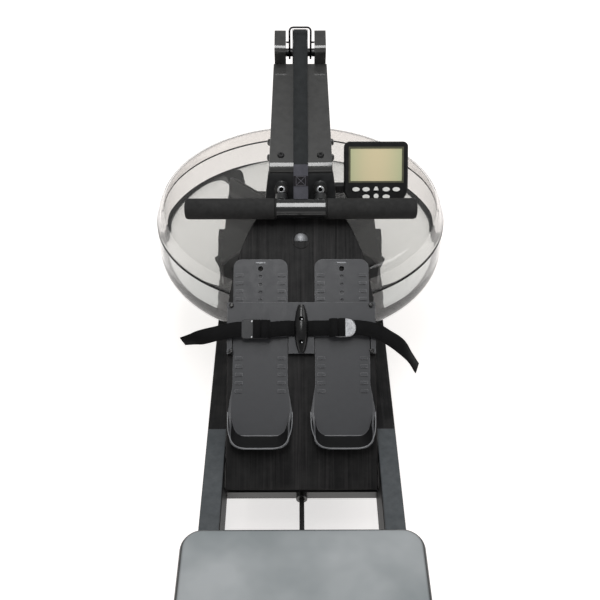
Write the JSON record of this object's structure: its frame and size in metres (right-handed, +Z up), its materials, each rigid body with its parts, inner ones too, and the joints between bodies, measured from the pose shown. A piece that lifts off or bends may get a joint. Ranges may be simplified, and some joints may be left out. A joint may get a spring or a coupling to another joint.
{
  "type": "water rowing machine",
  "caption": "Low rowing machine with twin rails, sliding seat, sloped foot board, and a clear water tank turned by a strap and pull handle.",
  "frame": {"origin": "on the floor under the middle of the machine, at the bottom centre of its bounding box", "axes": "+Y from the seat towards the tank along the rails, +Z up, +X to the right of a person who faces the tank"},
  "size_m": [0.566, 2.1, 0.6691],
  "materials": {
    "stained_wood": "satin",
    "track": "satin",
    "dark_metal": "satin",
    "dark_aluminium": "satin",
    "steel": "satin",
    "clear": "gloss",
    "black_plastic": "satin",
    "pad_plastic": "satin",
    "rubber": "matte",
    "webbing": "matte",
    "foam": "matte",
    "seat_cover": "satin",
    "screen": "gloss",
    "key": "satin"
  },
  "bodies": {
    "frame": {"rail_left": "stained_wood", "rail_right": "stained_wood", "track_left": "track", "track_right": "track", "rear_leg": "stained_wood", "rear_foot": "rubber", "front_leg": "stained_wood", "front_foot": "rubber", "tank_deck": "stained_wood", "tank_lower_shell": "clear", "tank_upper_shell": "clear", "tank_gasket": "rubber", "shaft_bearing": "steel", "foot_board": "stained_wood", "top_deck": "stained_wood", "board_support": "stained_wood", "foot_bridge": "pad_plastic", "strap_clamp": "black_plastic", "foot_strap_left": "webbing", "foot_strap_right": "webbing", "buckle_left": "black_plastic", "buckle_right": "steel", "neck_top_plate": "dark_metal", "neck_cheek_left": "dark_metal", "neck_cheek_right": "dark_metal", "neck_front_block": "dark_metal", "pulley_yoke": "black_plastic", "pulley_axle": "steel", "strap_guard": "steel", "drive_strap": "webbing", "recoil_cord": "rubber", "cord_guide": "dark_metal", "monitor_arm": "black_plastic"},
    "seat": {"seat_pad": "seat_cover", "seat_carriage": "dark_aluminium"},
    "front_wheelset": {"seat_wheelset_front": "black_plastic"},
    "rear_wheelset": {"seat_wheelset_rear": "black_plastic"},
    "handle": {"handle_bar": "dark_aluminium", "handle_grip_left": "foam", "handle_grip_right": "foam"},
    "pulley": {"top_pulley": "black_plastic"},
    "drum": {"drive_drum": "black_plastic"},
    "paddle": {"paddle": "black_plastic"},
    "lower_roller": {"recoil_roller_lower": "steel"},
    "upper_roller": {"recoil_roller_upper": "steel"},
    "left_pad": {"foot_pad_left": "pad_plastic"},
    "right_pad": {"foot_pad_right": "pad_plastic"},
    "monitor": {"monitor_case": "black_plastic", "monitor_screen": "screen"},
    "left_transport_wheel": {"transport_wheel_left": "rubber"},
    "right_transport_wheel": {"transport_wheel_right": "rubber"},
    "key_upper_1": {"key_upper_1": "key"},
    "key_upper_2": {"key_upper_2": "key"},
    "key_upper_3": {"key_upper_3": "key"},
    "key_upper_4": {"key_upper_4": "key"},
    "key_upper_5": {"key_upper_5": "key"},
    "key_lower_1": {"key_lower_1": "key"},
    "key_lower_2": {"key_lower_2": "key"},
    "key_lower_3": {"key_lower_3": "key"}
  },
  "joints": [
    {"name": "seat_slide", "type": "slide", "parent": "frame", "child": "seat", "axis": [0, 1, 0], "range_m": [-0.78, 0.05]},
    {"name": "front_wheelset_spin", "type": "hinge", "parent": "seat", "child": "front_wheelset", "pos_m": [0, -0.033, 0.2393], "axis": [1, 0, 0], "continuous": true},
    {"name": "rear_wheelset_spin", "type": "hinge", "parent": "seat", "child": "rear_wheelset", "pos_m": [0, -0.183, 0.2393], "axis": [1, 0, 0], "continuous": true},
    {"name": "handle_pull", "type": "slide", "parent": "frame", "child": "handle", "axis": [0, -0.9966, 0.0826], "range_m": [0, 1]},
    {"name": "pulley_spin", "type": "hinge", "parent": "frame", "child": "pulley", "pos_m": [0, 0.87501, 0.6133], "axis": [1, 0, 0], "continuous": true},
    {"name": "drum_spin", "type": "hinge", "parent": "frame", "child": "drum", "pos_m": [0, 0.76, 0.43], "axis": [0, 0, 1], "continuous": true},
    {"name": "paddle_spin", "type": "hinge", "parent": "frame", "child": "paddle", "pos_m": [0, 0.76, 0.3], "axis": [0, 0, 1], "continuous": true},
    {"name": "lower_roller_spin", "type": "hinge", "parent": "frame", "child": "lower_roller", "pos_m": [0, 0.262, 0.1673], "axis": [1, 0, 0], "continuous": true},
    {"name": "upper_roller_spin", "type": "hinge", "parent": "frame", "child": "upper_roller", "pos_m": [0, 0.52, 0.4005], "axis": [1, 0, 0], "continuous": true},
    {"name": "left_pad_slide", "type": "slide", "parent": "frame", "child": "left_pad", "axis": [0, 0.7727, 0.6347], "range_m": [-0.042, 0.028]},
    {"name": "right_pad_slide", "type": "slide", "parent": "frame", "child": "right_pad", "axis": [0, 0.7727, 0.6347], "range_m": [-0.042, 0.028]},
    {"name": "monitor_tilt", "type": "hinge", "parent": "frame", "child": "monitor", "pos_m": [0.129, 0.61008, 0.48485], "axis": [1, 0, 0], "range_deg": [-12, 15]},
    {"name": "left_transport_spin", "type": "hinge", "parent": "frame", "child": "left_transport_wheel", "pos_m": [-0.1535, 0.98, 0.032], "axis": [1, 0, 0], "continuous": true},
    {"name": "right_transport_spin", "type": "hinge", "parent": "frame", "child": "right_transport_wheel", "pos_m": [0.1535, 0.98, 0.032], "axis": [1, 0, 0], "continuous": true},
    {"name": "key_upper_1_press", "type": "slide", "parent": "monitor", "child": "key_upper_1", "axis": [0, 0.829, -0.5592], "range_m": [0, 0.001], "stiffness_N_per_m": 400},
    {"name": "key_upper_2_press", "type": "slide", "parent": "monitor", "child": "key_upper_2", "axis": [0, 0.829, -0.5592], "range_m": [0, 0.001], "stiffness_N_per_m": 400},
    {"name": "key_upper_3_press", "type": "slide", "parent": "monitor", "child": "key_upper_3", "axis": [0, 0.829, -0.5592], "range_m": [0, 0.001], "stiffness_N_per_m": 400},
    {"name": "key_upper_4_press", "type": "slide", "parent": "monitor", "child": "key_upper_4", "axis": [0, 0.829, -0.5592], "range_m": [0, 0.001], "stiffness_N_per_m": 400},
    {"name": "key_upper_5_press", "type": "slide", "parent": "monitor", "child": "key_upper_5", "axis": [0, 0.829, -0.5592], "range_m": [0, 0.001], "stiffness_N_per_m": 400},
    {"name": "key_lower_1_press", "type": "slide", "parent": "monitor", "child": "key_lower_1", "axis": [0, 0.829, -0.5592], "range_m": [0, 0.001], "stiffness_N_per_m": 400},
    {"name": "key_lower_2_press", "type": "slide", "parent": "monitor", "child": "key_lower_2", "axis": [0, 0.829, -0.5592], "range_m": [0, 0.001], "stiffness_N_per_m": 400},
    {"name": "key_lower_3_press", "type": "slide", "parent": "monitor", "child": "key_lower_3", "axis": [0, 0.829, -0.5592], "range_m": [0, 0.001], "stiffness_N_per_m": 400}
  ],
  "couplings": [
    {"joint": "front_wheelset_spin", "follows": "seat_slide", "rad_per_m": -52.632},
    {"joint": "rear_wheelset_spin", "follows": "seat_slide", "rad_per_m": -52.632},
    {"joint": "pulley_spin", "follows": "handle_pull", "rad_per_m": 24.45},
    {"joint": "drum_spin", "follows": "handle_pull", "rad_per_m": 33.113},
    {"joint": "paddle_spin", "follows": "handle_pull", "rad_per_m": 33.113},
    {"joint": "lower_roller_spin", "follows": "handle_pull", "rad_per_m": -46.511},
    {"joint": "upper_roller_spin", "follows": "handle_pull", "rad_per_m": 46.511}
  ]
}
